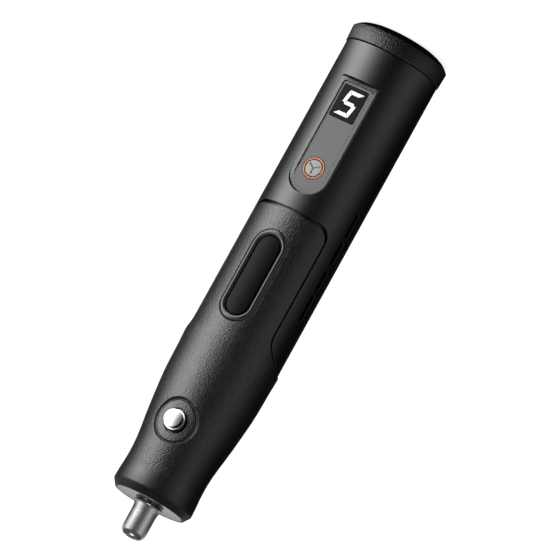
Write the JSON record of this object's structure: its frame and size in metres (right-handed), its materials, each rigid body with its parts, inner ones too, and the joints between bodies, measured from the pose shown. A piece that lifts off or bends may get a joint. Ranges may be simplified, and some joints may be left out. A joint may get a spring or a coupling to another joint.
{
  "type": "cordless mini grinder",
  "caption": "Pen-shaped cordless rotary tool with a collet nose, a spindle-lock button, a speed display and button, an internal motor and cell, and a charging socket in its rear cap.",
  "frame": {"origin": "middle of the rear cap's flat end, with the tool standing on it", "axes": "+Z along the tool's axis from the rear cap to the collet nut, -Y out of the control panel, +X to the right of someone who looks at the panel with the nose up"},
  "size_m": [0.034, 0.0346, 0.1836],
  "materials": {
    "rear_cap": "fine-grained black",
    "housing": "smooth satin black",
    "grip_sleeve": "soft black with a fine leather-like grain",
    "nose_plate": "smooth, semi-bright",
    "control_panel": "fine matte grey",
    "display_window": "dark tinted window",
    "speed_button": "light grey",
    "button_ring": "orange light ring",
    "badge_bezel": "satin black",
    "badge_plate": "glossy black, bare",
    "lock_button": "bright, slightly brushed",
    "lock_pin": "ground steel",
    "lock_spring": "spring wire",
    "collet_nut": "bright plated steel",
    "collet": "ground steel",
    "spindle": "ground steel",
    "bearing": "bearing steel",
    "metal_carrier": "machined",
    "screw": "plain steel",
    "motor_case": "nickel-plated steel",
    "motor_end_bell": "black moulded",
    "magnet": "dark grey ferrite",
    "armature": "dark laminated steel",
    "copper": "copper",
    "carbon": "dull carbon",
    "nickel": "nickel strip",
    "cell": "blue wrap",
    "cradle": "grey moulded",
    "board": "green lacquer",
    "chip": "black moulded",
    "lead_red": "red sleeve",
    "lead_black": "black sleeve"
  },
  "bodies": {
    "body": {"rear_cap": "rear_cap", "housing": "housing", "grip_sleeve": "grip_sleeve", "nose_plate": "nose_plate", "control_panel": "control_panel", "display_window": "display_window", "button_ring": "button_ring", "badge_bezel": "badge_bezel", "badge_plate": "badge_plate", "lock_spring": "lock_spring", "rear_bearing_outer": "bearing", "front_bearing_outer": "bearing", "bearing_housing": "metal_carrier", "motor_mount": "metal_carrier", "motor_screw_1": "screw", "motor_screw_2": "screw", "motor_can": "motor_case", "motor_end_bell": "motor_end_bell", "motor_magnet_left": "magnet", "motor_magnet_right": "magnet", "motor_brush_left": "carbon", "motor_brush_right": "carbon", "motor_terminal_left": "nickel", "motor_terminal_right": "nickel", "battery_cell": "cell", "battery_tab_rear": "nickel", "battery_tab_front": "nickel", "battery_cradle": "cradle", "main_board": "board", "board_screw_1": "screw", "board_screw_2": "screw", "control_chip": "chip", "tact_switch": "chip", "display_module": "chip", "charge_board": "board", "usb_port": "nickel", "motor_lead_left": "lead_red", "motor_lead_right": "lead_red", "battery_lead_front": "lead_red", "battery_lead_rear": "lead_black"},
    "spindle": {"spindle": "spindle", "rear_bearing_inner": "bearing", "front_bearing_inner": "bearing", "shaft_coupling": "metal_carrier", "motor_shaft": "spindle", "motor_armature": "armature", "motor_winding_1": "copper", "motor_winding_2": "copper", "motor_winding_3": "copper", "motor_commutator": "copper"},
    "rear_cage": {"rear_ball_cage": "bearing"},
    "front_cage": {"front_ball_cage": "bearing"},
    "collet": {"collet": "collet"},
    "nut": {"collet_nut": "collet_nut"},
    "lock": {"lock_button": "lock_button", "lock_pin": "lock_pin"},
    "speed_button": {"speed_button": "speed_button", "tact_plunger": "carbon"}
  },
  "joints": [
    {"name": "spindle_spin", "type": "hinge", "parent": "body", "child": "spindle", "pos_m": [0, 0, 0.146], "axis": [0, 0, 1], "continuous": true},
    {"name": "rear_cage_spin", "type": "hinge", "parent": "body", "child": "rear_cage", "pos_m": [0, 0, 0.1355], "axis": [0, 0, 1], "continuous": true},
    {"name": "front_cage_spin", "type": "hinge", "parent": "body", "child": "front_cage", "pos_m": [0, 0, 0.1625], "axis": [0, 0, 1], "continuous": true},
    {"name": "nut_turn", "type": "hinge", "parent": "collet", "child": "nut", "pos_m": [0, 0, 0.1716], "axis": [0, 0, 1], "range_deg": [0, 360]},
    {"name": "collet_slide", "type": "slide", "parent": "spindle", "child": "collet", "axis": [0, 0, 1], "range_m": [0, 0.00075]},
    {"name": "lock_press", "type": "slide", "parent": "body", "child": "lock", "axis": [0, 1, 0], "range_m": [0, 0.0024], "stiffness_N_per_m": 600, "springref_m": -0.002, "deforming": ["lock_spring"]},
    {"name": "speed_press", "type": "slide", "parent": "body", "child": "speed_button", "axis": [0, 1, 0], "range_m": [0, 0.0005], "stiffness_N_per_m": 1500, "springref_m": -0.0004}
  ],
  "couplings": [
    {"joint": "rear_cage_spin", "follows": "spindle_spin", "ratio": 0.4259},
    {"joint": "front_cage_spin", "follows": "spindle_spin", "ratio": 0.4259},
    {"joint": "nut_turn", "follows": "collet_slide", "rad_per_m": 8377.6}
  ]
}
